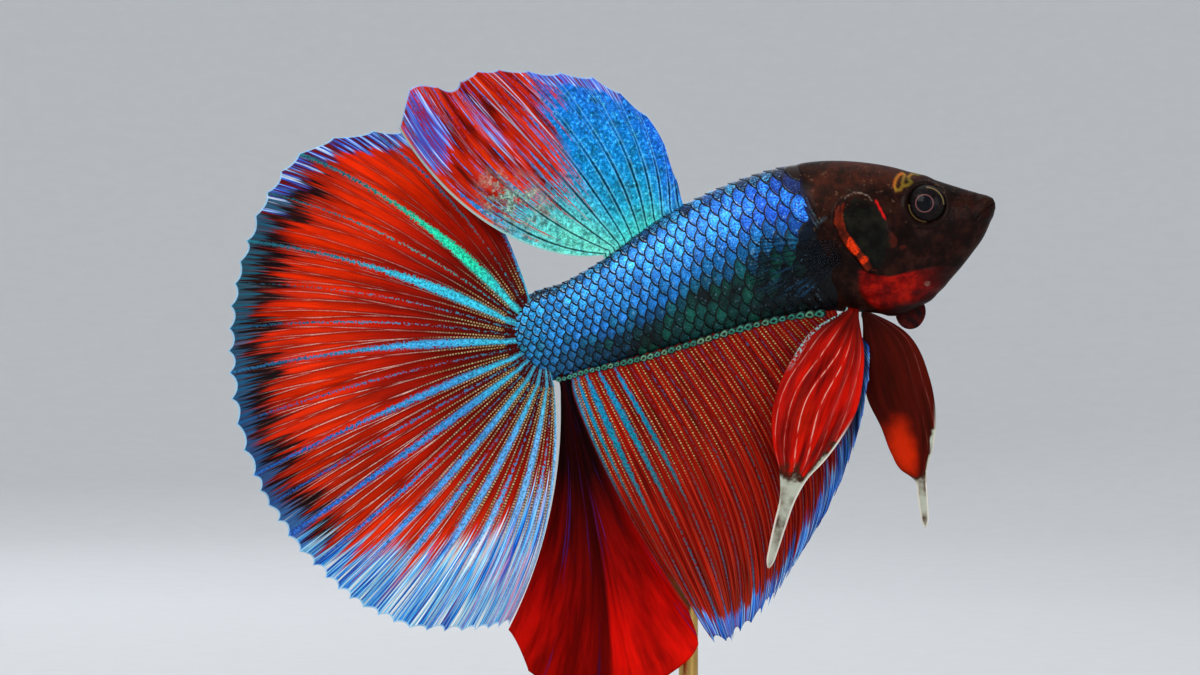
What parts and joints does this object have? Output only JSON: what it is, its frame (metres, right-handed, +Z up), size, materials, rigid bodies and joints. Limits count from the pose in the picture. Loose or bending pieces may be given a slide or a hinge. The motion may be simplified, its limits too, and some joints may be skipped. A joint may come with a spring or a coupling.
{
  "type": "betta fish",
  "caption": "Still, life-size halfmoon betta with flared, pleated fins and a spread tail, held level by a bent rod on a flat stand",
  "frame": {"origin": "the centre of the stand's underside, on the floor", "axes": "+Z up; +X towards the fish's head end, level; the fish's right side faces -Y"},
  "size_m": [0.0696, 0.038, 0.0703],
  "materials": {
    "head_skin": "wet, near-black brown skin",
    "scales": "glossy iridescent blue scales",
    "red_fins": "thin red fin skin with pale blue rays",
    "blue_fins": "thin blue and red fin skin",
    "clear_fins": "thin dark fin skin, almost clear",
    "eyes": "polished, dark",
    "wood": "dark stain, satin",
    "brass": "satin"
  },
  "bodies": {
    "root": {"head": "head_skin", "lower_jaw": "head_skin", "gill_cover_right": "head_skin", "gill_cover_left": "head_skin", "gill_membrane_left": "red_fins", "eye_right": "eyes", "eye_left": "eyes", "trunk": "scales", "tail_stalk": "scales", "dorsal_fin": "blue_fins", "caudal_fin_upper": "red_fins", "caudal_fin_lower": "red_fins", "anal_fin_front": "red_fins", "anal_fin_hind_lobe": "red_fins", "pectoral_fin_right": "clear_fins", "pectoral_fin_left": "clear_fins", "pelvic_fin_right": "red_fins", "pelvic_fin_left": "red_fins", "stand_base": "wood", "stand_collar": "brass", "stand_rod": "brass"}
  },
  "joints": []
}
